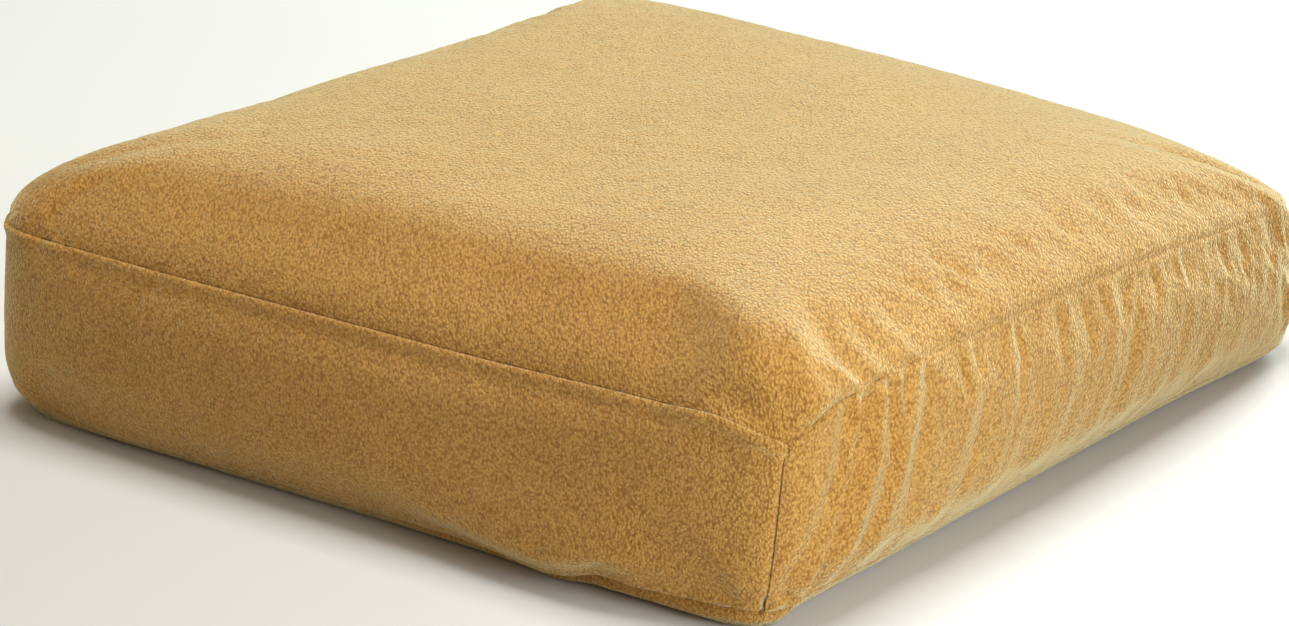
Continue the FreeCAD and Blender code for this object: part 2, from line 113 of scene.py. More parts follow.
class Noise:
    """Smooth seeded noise in two directions, from a lattice of random values."""

    def __init__(self, seed):
        self.table = np.random.default_rng(seed).uniform(-1, 1, (64, 64))

    def __call__(self, x, y):
        x, y = np.broadcast_arrays(x, y)
        left, low = np.floor(x).astype(int), np.floor(y).astype(int)
        across, up = smooth(x - left), smooth(y - low)
        value = 0
        for step_x, weight_x in ((0, 1 - across), (1, across)):
            for step_y, weight_y in ((0, 1 - up), (1, up)):
                known = self.table[(left + step_x) % 64, (low + step_y) % 64]
                value = value + weight_x * weight_y * known
        return value


# ---- the smooth cover

def outline(side, share, half, scale=1.0, more=0.0):
    """Points round one side: along it, and out from the middle. share runs from 0, the middle of one
    corner, to 1, the middle of the next. The corners' radii are scaled, and grow by more."""
    first = np.maximum(CORNERS[side] * scale + more, 1e-6)
    last = np.maximum(CORNERS[(side + 1) % 4] * scale + more, 1e-6)
    straight = 2 * half - first - last
    arc_first, arc_last = first * math.pi / 4, last * math.pi / 4
    done = share * (arc_first + straight + arc_last)
    before = np.clip(arc_first - done, 0, None) / first
    after = np.clip(done - arc_first - straight, 0, None) / last
    along = (first - half + np.clip(done - arc_first, 0, straight)
             - first * np.sin(before) + last * np.sin(after))
    out = half - first * (1 - np.cos(before)) - last * (1 - np.cos(after))
    return along, out


def turn(side, along, out):
    """Places points of a side's own frame on the cushion."""
    cos, sin = SIDE_TURNS[side]
    return along * cos + out * sin, along * sin - out * cos


def seam_height(side, share):
    """Height of the top seam: it climbs a little mid-side and dips at the near corner."""
    middle = 1 - np.abs(2 * share - 1) ** 4
    lift = (0, 12, 5, 3)[side] * MM * middle
    to_near = {FRONT: (1 - share) / 0.08, RIGHT: share / 0.06}.get(side, np.ones_like(share))
    near_lift = {FRONT: smooth((share - 0.6) / 0.3), RIGHT: 1 - smooth(share / 0.3)}.get(side, 0)
    dip = np.clip(1 - to_near, 0, 1) ** 1.5
    return SEAM_HIGH + (5 + 2 * near_lift) * MM + lift - 10 * MM * dip


def low_seam_height(side, share):
    """Height of the bottom seam, which is pressed to the floor along most of the front."""
    start, end = ((1.0, 1.1), (1.1, 0.7), (0.7, 0.9), (0.9, 1.0))[side]
    change = {FRONT: (share - 0.74) / 0.1, RIGHT: share / 0.3}.get(side, share)
    pressed = 0.7 * smooth(share / 0.2) * (1 - smooth((share - 0.74) / 0.1)) if side == FRONT else 0
    return SEAM_LOW * (start + (end - start) * smooth(change) - pressed)


def roll_path():
    """Path length and inset over the top panel's rolled edge, then on to the middle."""
    angle = np.linspace(0, math.pi / 2, 60)
    inset = np.append(ROLLS[LEFT] * (1 - np.cos(angle)), HALF)
    rise = np.append(ROLL_RISE * np.sin(angle), ROLL_RISE)
    path = np.append(0, np.cumsum(np.hypot(np.diff(inset), np.diff(rise))))
    return path, inset


ROLL_PATH, ROLL_INSET = roll_path()


def roll_rise(side, share, inset):
    """How far the top stands over its seam. The rolls of two sides blend towards their corner, and the
    near corner is steeper."""
    other = np.where(share < 0.5, ROLLS[side - 1], ROLLS[(side + 1) % 4])
    reach = ROLLS[side] + (other - ROLLS[side]) / 2 * smooth(np.abs(2 * share - 1))
    steep = {FRONT: smooth((share - 0.84) / 0.12), RIGHT: 1 - smooth(share / 0.08)}.get(side, 0)
    reach = reach * (1 - 0.55 * steep)
    left = 1 - np.clip(inset / reach, 0, 1)
    return ROLL_RISE * np.sqrt(1 - left ** ROLL_POWER)


def settle(points):
    """Moves points by how far the corners have settled. The band of the zip keeps its place."""
    x, y, z = points[..., 0], points[..., 1], points[..., 2]
    across, deep = np.clip(x / HALF, -1, 1), np.clip(y / HALF, -1, 1)
    moved = points.copy()
    level = np.clip(z / (150 * MM), 0, 1)
    upper = np.clip((z - 70 * MM) / (70 * MM), 0, 1)
    for (sign_x, sign_y), (low_x, low_y, high_x, high_y, high_z) in SETTLED.items():
        weight = (1 + sign_x * across) * (1 + sign_y * deep) / 4 * MM
        moved[..., 0] += weight * (low_x + (high_x - low_x) * level)
        moved[..., 1] += weight * (low_y + (high_y - low_y) * level)
        moved[..., 2] += weight * high_z * upper
    slump = bump(np.hypot(x - HALF, y - HALF) / (190 * MM))
    moved[..., 2] -= 11 * MM * slump * upper
    return moved


def level_grid(make_point):
    """A square grid of the top or bottom, made ring by ring: 0 at the middle, 1 at the seam."""
    steps = np.arange(COUNT + 1) * 2 / COUNT - 1
    a, b = np.meshgrid(steps, steps, indexing="ij")
    ring = np.maximum(np.abs(a), np.abs(b))
    points = np.zeros((COUNT + 1, COUNT + 1, 3))
    for side in (FRONT, RIGHT, REAR, LEFT):
        cos, sin = SIDE_TURNS[side]
        along, out = a * cos + b * sin, a * sin - b * cos
        mine = (out >= np.abs(along) - 1e-9) & (ring > 0)
        share = (along[mine] / ring[mine] + 1) / 2
        points[mine] = make_point(side, share, ring[mine])
    middle = COUNT // 2
    points[middle, middle] = make_point(FRONT, np.array([0.5]), np.array([0.0]))[0]
    return points


def top_point(side, share, ring):
    """A point of the top panel before anything settles."""
    path = (1 - ring) * ROLL_PATH[-1]
    inset = np.interp(path, ROLL_PATH, ROLL_INSET)
    rise = roll_rise(side, share, inset)
    scale = (HALF - inset) / HALF
    along, out = outline(side, share, HALF * scale, scale ** 1.5)
    x, y = turn(side, along, out)
    fade = 1 - smooth(path / (60 * MM))
    dome = (1 - (x / HALF) ** 2) * (1 - (y / HALF) ** 2)
    z = SEAM_HIGH + rise + (seam_height(side, share) - SEAM_HIGH) * fade + CROWN * dome
    return np.stack([x, y, z], -1)


def bottom_point(side, share, ring):
    """A point of the bottom panel: a small roll, then flat on the floor."""
    path = (1 - ring) * HALF
    start = low_seam_height(side, share)
    turned = smooth(path / LOW_ROLL)
    inset = low_tuck(side, share) + path
    scale = np.clip(HALF - inset, 0, None) / HALF
    along, out = outline(side, share, HALF * scale, scale ** 1.5)
    x, y = turn(side, along, out)
    return np.stack([x, y, start * (1 - turned)], -1)


def low_tuck(side, share):
    """How far the bottom seam lies in from the cushion's side."""
    more = 6 * MM * smooth(share / 0.06) * (1 - smooth((share - 0.7) / 0.3))
    return 3 * MM + (more if side == RIGHT else np.zeros_like(share))


def boxing_grid(side):
    """The grid of one boxing side, from the bottom seam to the top seam."""
    share = (np.arange(COUNT + 1) / COUNT)[:, None]
    level = (np.arange(ROWS + 1) / ROWS)[None, :]
    low, high = low_seam_height(side, share), seam_height(side, share)
    middle = 1 - np.abs(2 * share - 1) ** 3
    belly = BELLY * 4 * level * (1 - level) * (0.35 + 0.65 * middle)
    z = low + (high - low) * level
    if side == REAR:
        off_zip = smooth((np.abs(z - ZIP_Z) - 9 * MM) / (22 * MM))
        from_corner = smooth(np.minimum(share, 1 - share) / 0.08)
        belly = belly * (1 - from_corner * (1 - off_zip))
    out_by = belly - low_tuck(side, share) * (1 - smooth(level / 0.22))
    if side == FRONT:
        lip = bump((share - 0.76) / 0.15) * smooth(level / 0.15) * (1 - smooth(level / 0.7))
        out_by = out_by + 16 * MM * lip
    along, out = outline(side, share, HALF + out_by, more=out_by)
    x, y = turn(side, along, out)
    return np.stack([x, y, z + np.zeros_like(x)], -1)


def normals(points):
    """Unit normals of a grid of points."""
    across = np.gradient(points, axis=0)
    up = np.gradient(points, axis=1)
    out = np.cross(across, up)
    return out / np.maximum(np.linalg.norm(out, axis=-1, keepdims=True), 1e-12)


# ---- gathers and folds

def crease_list(side):
    """Creases that hang from the top seam, where more boxing cloth was sewn in than the seam is long.
    Each is its place along the seam, height, half width, length down the boxing, lean and bend."""
    random = np.random.default_rng(40 + side)
    count = (7, 14, 9, 8)[side]
    strength = (0.3, 1.0, 0.35, 0.35)[side]
    creases = []
    for number in range(count):
        share = (number + 0.9 + random.uniform(-0.42, 0.42)) / (count + 0.5)
        near = 1 - share if side == RIGHT else 0.4
        height = strength * MM * (0.4 + 6.4 * near ** 3) * random.uniform(0.4, 1.25)
        width = MM * (3.2 + 3.0 * random.uniform()) * (1.8 - 0.9 * near)
        length = 0.4 + 0.5 * random.uniform() + 0.2 * near
        lean = MM * (34 * random.uniform(0.5, 1.2) if side == RIGHT else random.uniform(-10, 10))
        bend = random.uniform(1.2, 2.2)
        creases.append((share, height, width, length, lean, bend))
    return creases


def crease_field(side, along, level):
    """How far the creases stand out of one boxing side. along is the path along the side, level the
    height from 0 at the bottom seam to 1 at the top."""
    total = np.zeros(np.broadcast(along, level).shape)
    run = along.max()
    down = 1 - level
    for share, height, width, length, lean, bend in crease_list(side):
        centre = share * run - lean * down ** bend
        spread = width * (1 + 0.9 * down)
        apart = (along - centre) / spread
        shape = np.exp(-np.abs(apart) ** 1.5)
        shape = shape - 0.6 * bump((apart - 2.3) / 1.5) - 0.3 * bump((apart + 2.4) / 1.4)
        held = smooth(down / 0.07) * (1 - smooth((down - length) / 0.4))
        held = held * smooth(np.minimum(along, run - along) / (9 * MM))
        total += height * shape * held
    if side == RIGHT:
        fold = (along - 0.945 * run + 26 * MM * (level - 0.3)) / (4 * MM)
        total += 2.4 * MM * (bump(fold) - 0.8 * bump((fold + 2.2) / 1.4)) * bump((level - 0.27) / 0.2)
        wrinkles = Noise(31)
        across = (along + 30 * MM * down ** 1.5) / MM
        uneven = wrinkles(across / 13, level * 2.2) + 0.7 * wrinkles(across / 6.5 + 20, level * 3.5)
        total += 1.3 * MM * uneven * smooth(down / 0.1) * (1 - 0.6 * down)
    return total


def add_creases(boxing, side):
    """Pushes a boxing grid in and out along its creases."""
    middle_row = boxing[:, ROWS // 2]
    along = np.append(0, np.cumsum(np.linalg.norm(np.diff(middle_row, axis=0), axis=1)))[:, None]
    level = (np.arange(boxing.shape[1]) / (boxing.shape[1] - 1))[None, :]
    height = crease_field(side, along, level)
    return boxing + normals(boxing) * height[..., None]


def top_puckers(points):
    """Short puckers that run from the top seam over the roll, and slow lumps of the filling."""
    steps = np.arange(points.shape[0]) / (points.shape[0] - 1)
    a, b = np.meshgrid(steps, steps, indexing="ij")
    size = 2 * HALF
    height = np.zeros(a.shape)
    places = ((RIGHT, b, 1 - a), (FRONT, a, b), (REAR, 1 - a, 1 - b), (LEFT, 1 - b, a))
    for side, share_at, gap in places:
        for share, tall, width, _, _, _ in crease_list(side):
            apart = (share_at - share) * size / (1.5 * width + gap * size * 0.12)
            reach = smooth(gap * size / (5 * MM)) * np.exp(-gap * size / (20 * MM))
            height += 0.55 * tall * bump(apart) * reach
    lumps = Noise(5)
    height += 0.9 * MM * lumps(a * 9, b * 9) * smooth(np.minimum.reduce([a, b, 1 - a, 1 - b]) * 12)
    return points + normals(points) * height[..., None]


def near_corner(points):
    """The top's near corner: a hollow along the front seam, and a ridge up from the corner beside it."""
    steps = np.arange(points.shape[0]) / (points.shape[0] - 1)
    a, b = np.meshgrid(steps, steps, indexing="ij")
    to_right, to_front = (1 - a) * 2 * HALF, b * 2 * HALF
    hollow = bump((to_right - 27 * MM) / (20 * MM)) * bump((to_front - 5 * MM) / (12 * MM))
    ridge = bump((to_right - 7 * MM) / (8 * MM)) * bump((to_front - 26 * MM) / (28 * MM))
    seam_held = smooth(np.minimum(to_right, to_front) / (4 * MM))
    height = (-5 * MM * hollow + 3 * MM * ridge) * seam_held
    return points + normals(points) * height[..., None]


# ---- one mesh for the simulation

def ring_index(place):
    """Grid place of the top and bottom at one step round their edge, from the left front corner."""
    side, step = divmod(place % (4 * COUNT), COUNT)
    return ((step, 0), (COUNT, step), (COUNT - step, COUNT), (0, COUNT - step))[side]


def ring(grid, side):
    """The points of the top or bottom grid that one boxing side is sewn to."""
    return np.array([grid[ring_index(side * COUNT + step)] for step in range(COUNT + 1)])


def softened(grid, rounds=60):
    """The top with its height evened out away from the seam, so that the rolls meet without a line."""
    height = grid[..., 2].copy()
    steps = np.arange(COUNT + 1) / COUNT
    from_edge = np.minimum(steps, 1 - steps)
    inner = smooth((np.minimum.outer(from_edge, from_edge) - 0.06) / 0.12)[1:-1, 1:-1]
    for _ in range(rounds):
        mean = (height[:-2, 1:-1] + height[2:, 1:-1] + height[1:-1, :-2] + height[1:-1, 2:]) / 4
        height[1:-1, 1:-1] += inner * (mean - height[1:-1, 1:-1])
    return np.concatenate([grid[..., :2], height[..., None]], -1)


def cover_grids():
    """The cover as a top grid, four boxing grids and a bottom grid that meet at their edges."""
    top = settle(top_puckers(softened(level_grid(top_point))))
    bottom = settle(level_grid(bottom_point))
    boxing = [settle(add_creases(boxing_grid(side), side)) for side in range(4)]
    for side, grid in enumerate(boxing):
        for row, sewn_to in ((0, bottom), (-1, top)):
            miss = ring(sewn_to, side) - grid[:, row]
            near = bump(np.arange(ROWS + 1) / 1.5)[:: 1 if row == 0 else -1]
            grid += miss[:, None] * near[None, :, None]
    for side, grid in enumerate(boxing):
        corner = (grid[-1] + boxing[(side + 1) % 4][0]) / 2
        grid[-1] = corner
        boxing[(side + 1) % 4][0] = corner
    return top, boxing, bottom


def refine(grid, across, up):
    """Points of a smooth surface through a grid, at fractional grid places."""
    for axis, places in ((0, across), (1, up)):
        last = grid.shape[axis] - 1
        base = np.clip(np.floor(places).astype(int), 0, last - 1)
        rest = (places - base).reshape([-1 if i == axis else 1 for i in range(3)])
        moved = np.moveaxis(grid, axis, 0)
        padded = np.concatenate([2 * moved[:1] - moved[1:2], moved, 2 * moved[-1:] - moved[-2:-1]])
        before, here, there, beyond = (np.moveaxis(padded[base + step], 0, axis) for step in range(4))
        grid = 0.5 * (2 * here + (there - before) * rest
                      + (2 * before - 5 * here + 4 * there - beyond) * rest ** 2
                      + (3 * here - before - 3 * there + beyond) * rest ** 3)
    return grid


# ---- meshes

SHARP = math.radians(70)      # an edge that turns more than this is shaded as a cut edge


def new_piece(name, node, slot, points, faces):
    """A smooth mesh that rides on the cushion and stands for a CAD node, in its slot's material."""
    mesh = bpy.data.meshes.new(name)
    mesh.from_pydata(np.asarray(points).tolist(), [], [list(face) for face in faces])
    mesh.validate()
    mesh.materials.append(LOOKS[slot])
    mesh.shade_smooth()
    mesh.set_sharp_from_angle(angle=SHARP)
    piece = bpy.data.objects.new(name, mesh)
    bpy.context.scene.collection.objects.link(piece)
    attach(piece, "cushion")
    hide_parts(node)
    return piece


def grid_faces(columns, rows, start=0, flip=False):
    """Quads of a grid of points that is columns by rows points large."""
    index = start + np.arange(columns * rows).reshape(columns, rows)
    quads = np.stack([index[:-1, :-1], index[1:, :-1], index[1:, 1:], index[:-1, 1:]], -1).reshape(-1, 4)
    return quads[:, ::-1] if flip else quads


def edge_loop(columns, rows):
    """Indices round the edge of a grid, in the direction of its faces."""
    index = np.arange(columns * rows).reshape(columns, rows)
    return np.concatenate([index[:-1, 0], index[-1, :-1], index[:0:-1, -1], index[0, :0:-1]])


def cloth_shell(outer, thickness):
    """Points and faces of a closed sheet under a grid of its outer surface."""
    columns, rows = outer.shape[:2]
    inner = outer - normals(outer) * thickness
    count = columns * rows
    points = np.concatenate([outer.reshape(-1, 3), inner.reshape(-1, 3)])
    loop = edge_loop(columns, rows)
    after = np.roll(loop, -1)
    rim = np.stack([after, loop, loop + count, after + count], -1)
    faces = np.concatenate([grid_faces(columns, rows), grid_faces(columns, rows, count, flip=True), rim])
    return points, faces


def joined_to_itself(points, faces):
    """The same mesh with points at one place made one, so that a wrapped grid closes."""
    keys = np.round(np.asarray(points) / (0.01 * MM)).astype(np.int64)
    _, first, place = np.unique(keys, axis=0, return_index=True, return_inverse=True)
    faces = place.reshape(-1)[np.asarray(faces)]
    return np.asarray(points)[first], faces


def dashes(paths, sides=6):
    """Points and faces of single stitches, short and rounded, laid along paths."""
    ring = np.arange(sides) * TAU / sides
    rings = ((-0.5, 0.35), (-0.38, 0.85), (0.0, 1.0), (0.38, 0.85), (0.5, 0.35))
    points, faces = [], []
    for path, out in paths:
        steps = np.append(0, np.cumsum(np.linalg.norm(np.diff(path, axis=0), axis=1)))
        places = np.arange(STITCH_PITCH / 2, steps[-1], STITCH_PITCH)
        centre = np.stack([np.interp(places, steps, path[:, axis]) for axis in range(3)], -1)
        ahead = np.stack([np.interp(places + MM, steps, path[:, axis]) for axis in range(3)], -1)
        side_way = np.stack([np.interp(places, steps, out[:, axis]) for axis in range(3)], -1)
        heading = (ahead - centre) / np.linalg.norm(ahead - centre, axis=1, keepdims=True).clip(1e-9)
        side_way -= heading * np.sum(side_way * heading, axis=1, keepdims=True)
        side_way /= np.linalg.norm(side_way, axis=1, keepdims=True).clip(1e-9)
        third = np.cross(heading, side_way)
        for here, along, across, up in zip(centre, heading, side_way, third):
            first = len(points)
            for shift, size in rings:
                for angle in ring:
                    spoke = across * math.cos(angle) + up * math.sin(angle)
                    points.append(here + along * shift * STITCH + spoke * THREAD * size)
            for row in range(len(rings) - 1):
                for step in range(sides):
                    a = first + row * sides + step
                    b = first + row * sides + (step + 1) % sides
                    faces.append((a, b, b + sides, a + sides))
            faces.append(tuple(first + step for step in reversed(range(sides))))
            faces.append(tuple(first + (len(rings) - 1) * sides + step for step in range(sides)))
    return points, faces


# ---- simulation

def swell(top, boxing, bottom):
    """Runs the sewn cover as one cloth under a little pressure, and returns its grids."""
    side = COUNT + 1
    points = [top.reshape(-1, 3)]
    boxing_start = side * side
    round_count = 4 * COUNT
    band = np.concatenate([grid[:-1, 1:-1] for grid in boxing])
    points.append(band.reshape(-1, 3))
    bottom_start = boxing_start + round_count * (ROWS - 1)
    points.append(bottom.reshape(-1, 3))
    points = np.concatenate(points)

    def grid_place(place, start):
        column, row = ring_index(place)
        return start + column * side + row

    def wall_place(place, row):
        if row == 0:
            return grid_place(place, bottom_start)
        if row == ROWS:
            return grid_place(place, 0)
        return boxing_start + (place % round_count) * (ROWS - 1) + row - 1

    faces = grid_faces(side, side).tolist()
    faces += grid_faces(side, side, bottom_start, flip=True).tolist()
    for place in range(round_count):
        for row in range(ROWS):
            faces.append((wall_place(place, row), wall_place(place + 1, row),
                          wall_place(place + 1, row + 1), wall_place(place, row + 1)))

    mesh = bpy.data.meshes.new("cover_cloth")
    mesh.from_pydata(points.tolist(), [], faces)
    cover = bpy.data.objects.new("cover_cloth", mesh)
    bpy.context.scene.collection.objects.link(cover)

    index = np.arange(len(points))
    floor = (index >= bottom_start) & (points[:, 2] < 1.5 * MM)
    zip_band = (points[:, 1] > HALF - 4 * MM) & (np.abs(points[:, 2] - ZIP_Z) < 13 * MM)
    pins = cover.vertex_groups.new(name="pins")
    pins.add(index[floor | zip_band].tolist(), 1.0, "REPLACE")

    cloth = cover.modifiers.new("cloth", "CLOTH")
    settings = cloth.settings
    settings.quality = 5
    settings.mass = 0.25
    settings.tension_stiffness = 20
    settings.compression_stiffness = 20
    settings.shear_stiffness = 6
    settings.bending_stiffness = 0.8
    settings.air_damping = 4
    settings.use_pressure = True
    settings.uniform_pressure_force = 3.5
    settings.effector_weights.gravity = 0
    settings.vertex_group_mass = "pins"
    cloth.collision_settings.use_collision = False
    scene = bpy.context.scene
    for number in range(1, 15):
        scene.frame_set(number)
    shaped = cover.evaluated_get(bpy.context.evaluated_depsgraph_get()).to_mesh()
    moved = np.zeros(len(points) * 3)
    shaped.vertices.foreach_get("co", moved)
    moved = moved.reshape(-1, 3)
    bpy.data.objects.remove(cover, do_unlink=True)
    scene.frame_set(1)

    step = moved - points
    far = np.linalg.norm(step, axis=1, keepdims=True)
    cap = 7 * MM
    moved = points + step * np.minimum(1, cap * np.tanh(far / cap) / far.clip(1e-9))
    moved[:, 2] = np.maximum(moved[:, 2], 0)

    top = moved[:boxing_start].reshape(side, side, 3)
    bottom = moved[bottom_start:].reshape(side, side, 3)
    grids = []
    for number in range(4):
        places = range(number * COUNT, (number + 1) * COUNT + 1)
        rows = [[wall_place(place, row) for row in range(ROWS + 1)] for place in places]
        grids.append(moved[np.array(rows)])
    return top, grids, bottom


# ---- materials

LOOKS = {}                    # each material by its name


class Look:
    """A node material: its shader, and short ways to add nodes to it."""

    def __init__(self, name, settings):
        material = bpy.data.materials.new(name)
        material.use_nodes = True
        LOOKS[name] = material
        self.tree = material.node_tree
        self.shader = self.tree.nodes["Principled BSDF"]
        self.place = self.add("TexCoord", {}).outputs["Object"]
        self.feed(self.shader, settings)

    def feed(self, node, inputs):
        """Sets or links a node's inputs: each is a number, a vector, a colour or another's output."""
        for name, value in inputs.items():
            if isinstance(value, bpy.types.NodeSocket):
                self.tree.links.new(value, node.inputs[name])
            else:
                node.inputs[name].default_value = value

    def add(self, kind, inputs, **settings):
        """A new node with its settings and inputs."""
        node = self.tree.nodes.new("ShaderNode" + kind)
        for name, value in settings.items():
            setattr(node, name, value)
        self.feed(node, inputs)
        return node

    def stretched(self, place, scale, turned=0.0):
        """Texture coordinates turned about Z, then scaled along X, Y and Z."""
        inputs = {"Vector": place, "Scale": scale, "Rotation": (0, 0, turned)}
        return self.add("Mapping", inputs).outputs["Vector"]

    def noise(self, place, scale, detail, rough=0.5):
        """A noise texture's height."""
        inputs = {"Vector": place, "Scale": scale, "Detail": detail, "Roughness": rough}
        return self.add("TexNoise", inputs).outputs["Fac"]

    def cells(self, place, scale):
        """Distance from the middle of the nearest of many small cells."""
        return self.add("TexVoronoi", {"Vector": place, "Scale": scale}).outputs["Distance"]

    def math(self, kind, first, second):
        """One step of arithmetic on two values."""
        return self.add("Math", {0: first, 1: second}, operation=kind).outputs[0]

    def sum(self, first, first_part, second, second_part):
        """Two heights added, each times its part."""
        return self.math("ADD", self.math("MULTIPLY", first, first_part),
                         self.math("MULTIPLY", second, second_part))

    def ramp(self, value, low, first, high, last):
        """A colour ramp from one colour at low to another at high."""
        node = self.add("ValToRGB", {"Fac": value})
        for element, place, colour in zip(node.color_ramp.elements, (low, high), (first, last)):
            element.position = place
            element.color = (*colour, 1)
        return node.outputs["Color"]

    def finish(self, height, strength, distance, inputs):
        """Adds bump from a height, distance metres for a height of 1, and sets the shader's inputs."""
        bumps = {"Height": height, "Strength": strength, "Distance": distance}
        self.feed(self.shader, {"Normal": self.add("Bump", bumps).outputs["Normal"], **inputs})


NAP = math.radians(-36)       # the way the cloth's loops lean
GREY = [(level, level, level) for level in (0.0, 0.3, 0.5, 1.0)]


def boucle(name, light, deep):
    """Nubby cotton cloth: loops 1.5 to 3.5 mm apart that lean one way, with finer yarn in them and slow
    changes of tone. Its colour follows the loops' height: a painted highlight on the loop tops and
    painted shade in the pits between them."""
    look = Look(name, {"Roughness": 0.95, "Sheen Weight": 1.0, "Sheen Roughness": 0.37,
                       "Sheen Tint": (1.0, 0.96, 0.6, 1), "Specular IOR Level": 0.15})
    combed = look.stretched(look.stretched(look.place, (1, 1, 1), NAP), (1.0, 0.42, 0.72))
    dome = look.math("SUBTRACT", 1.0, look.cells(combed, 700))
    height = look.sum(dome, 0.45, look.noise(combed, 780, 2, 0.6), 0.75)
    # painted highlight and painted shade: the high loop tops take the light colour and the low pits the
    # deep one
    tone = look.ramp(height, 0.42, deep, 0.78, light)
    patch = look.ramp(look.noise(look.place, 9, 3, 0.6), 0.3, (0.90, 0.86, 0.80), 0.7, GREY[3])
    colour = look.add("Mix", {"Factor": 0.8, "A": tone, "B": patch}, data_type="RGBA",
                      blend_type="MULTIPLY").outputs["Result"]
    look.finish(height, 1.0, 1.5 * MM, {"Base Color": colour})


def woven(name, light, deep, pitch):
    """Plain woven cloth or tape: two sets of yarns that cross."""
    look = Look(name, {"Roughness": 0.85, "Sheen Weight": 0.1})
    yarns = []
    for across in ((1, 0, 0), (0, 1, 1)):
        along = look.add("VectorMath", {0: look.place, 1: across}, operation="DOT_PRODUCT")
        spread = look.add("CombineXYZ", {0: along.outputs["Value"]}).outputs[0]
        inputs = {"Vector": spread, "Scale": 1 / (pitch * 3.2), "Distortion": 1.2, "Detail Scale": 3.0}
        yarns.append(look.add("TexWave", inputs, bands_direction="X").outputs["Fac"])
    height = look.sum(look.math("ADD", *yarns), 1.0, look.noise(look.place, 700, 3), 0.6)
    tone = look.ramp(look.math("MULTIPLY", height, 0.4), 0.25, deep, 0.7, light)
    look.finish(height, 0.5, 0.25 * MM, {"Base Color": tone})


def spun(name, light, deep, rough=0.75, scale=600, metal=0.0):
    """Thread, coil and other small parts: a fine noise over one colour."""
    look = Look(name, {"Roughness": rough, "Metallic": metal})
    grain = look.noise(look.place, scale, 3)
    look.finish(grain, 0.4, 0.1 * MM, {"Base Color": look.ramp(grain, 0.3, deep, 0.7, light)})


def fluffy(name, light, deep, scale, depth):
    """Wadding and foam: a cloudy or open-celled surface."""
    look = Look(name, {"Roughness": 1.0, "Specular IOR Level": 0.1})
    cloud = look.noise(look.place, scale / 8, 4, 0.65)
    height = look.sum(cloud, 0.7, look.cells(look.place, scale), 0.5)
    look.finish(height, 0.7, depth, {"Base Color": look.ramp(height, 0.25, deep, 0.75, light)})


def enamel(name, colour, worn):
    """Enamelled die-cast metal with small scratches that show the metal."""
    look = Look(name, {})
    scratch = look.noise(look.stretched(look.place, (1, 6, 6)), 260, 5, 0.7)
    inputs = {"Base Color": look.ramp(scratch, 0.62, colour, 0.70, worn),
              "Metallic": look.ramp(scratch, 0.62, GREY[0], 0.70, GREY[3]),
              "Roughness": look.ramp(look.noise(look.place, 400, 3), 0.2, GREY[1], 0.8, GREY[2])}
    look.finish(scratch, 0.15, 0.05 * MM, inputs)


# the cloth's colour lightened as a painted highlight on the loop tops, then darkened as painted shade in
# the pits
boucle("cover_cloth", (0.66, 0.36, 0.095), (0.33, 0.145, 0.028))
spun("sewing_thread", (0.42, 0.24, 0.07), (0.30, 0.155, 0.04))
woven("zip_tape", (0.42, 0.28, 0.12), (0.25, 0.155, 0.06), 0.5 * MM)
spun("zip_coil", (0.36, 0.235, 0.10), (0.27, 0.17, 0.07), rough=0.42)
spun("zip_stop", (0.62, 0.58, 0.5), (0.45, 0.42, 0.36), rough=0.35, scale=900, metal=1.0)
enamel("slider_metal", (0.25, 0.155, 0.065), (0.55, 0.5, 0.42))
woven("case_cloth", (0.72, 0.69, 0.62), (0.55, 0.52, 0.45), 0.45 * MM)
fluffy("wadding", (0.88, 0.88, 0.86), (0.66, 0.66, 0.63), 240, 1.5 * MM)
fluffy("foam", (0.80, 0.72, 0.45), (0.55, 0.46, 0.24), 1400, 0.4 * MM)


# ---- panels

def fine_places(cells, step):
    """Grid places a step apart, and closer at both ends, where the seams are."""
    near = np.array([0.004, 0.08, 0.17, 0.27, 0.38, 0.5, 0.64, 0.8])
    inner = np.arange(1, cells - 1 + step / 2, step)
    return np.concatenate([near, inner, cells - near[::-1]])


def edge_distance(grid, across, up):
    """Distance of each fine place of a grid from the nearest edge of its panel."""
    cell_across = np.linalg.norm(np.diff(grid, axis=0), axis=-1).mean()
    cell_up = np.linalg.norm(np.diff(grid, axis=1), axis=-1).mean()
    from_end = np.minimum(across, grid.shape[0] - 1 - across)[:, None] * cell_across
    from_seam = np.minimum(up, grid.shape[1] - 1 - up)[None, :] * cell_up
    return np.minimum(from_end, from_seam)


def seamed(points, distance, depth, puff=0.5 * MM):
    """Pulls a panel in along its seams, puffs it out beside them, and gives it the small unevenness of
    soft filling. The bottom seam folds deeper towards the near corner."""
    x, y, z = points[..., 0], points[..., 1], points[..., 2]
    near = bump(np.hypot(x - HALF, y + HALF) / (60 * MM))
    low = 1 - smooth((z - 18 * MM) / (10 * MM))
    low = low * smooth(x / (150 * MM)) * smooth((-y - HALF + 40 * MM) / (20 * MM))
    valley = depth * (1 + 2 * near + 3 * low) * bump(distance / ((1.6 + 0.9 * low) * MM))
    height = (puff + 2 * MM * low) * bump((distance - 5 * MM) / (3 * MM)) - valley
    unevenness = Noise(11)
    uneven = unevenness((x + 0.7 * z) / (14 * MM), (y - 0.6 * z) / (14 * MM))
    uneven = uneven + 0.6 * unevenness((x - z) / (7 * MM), (y + z) / (7 * MM))
    height = height + 0.22 * MM * uneven * smooth(distance / (5 * MM))
    moved = points + normals(points) * height[..., None]
    moved[..., 2] = np.maximum(moved[..., 2], 0)
    return moved


def ledged(points, from_top, tall):
    """Lifts a boxing strip in a rounded ridge just under its top seam, where the seam's turned-in cloth
    pushes it out. The ridge is tallest at the near corner."""
    to_near = np.hypot(points[..., 0] - HALF, points[..., 1] + HALF)
    tall = tall * (1 + 0.5 * bump(to_near / (90 * MM)))
    height = tall * smooth(from_top / (2.6 * MM)) * (1 - smooth((from_top - 2.4 * MM) / (9 * MM)))
    return points + normals(points) * height[..., None]


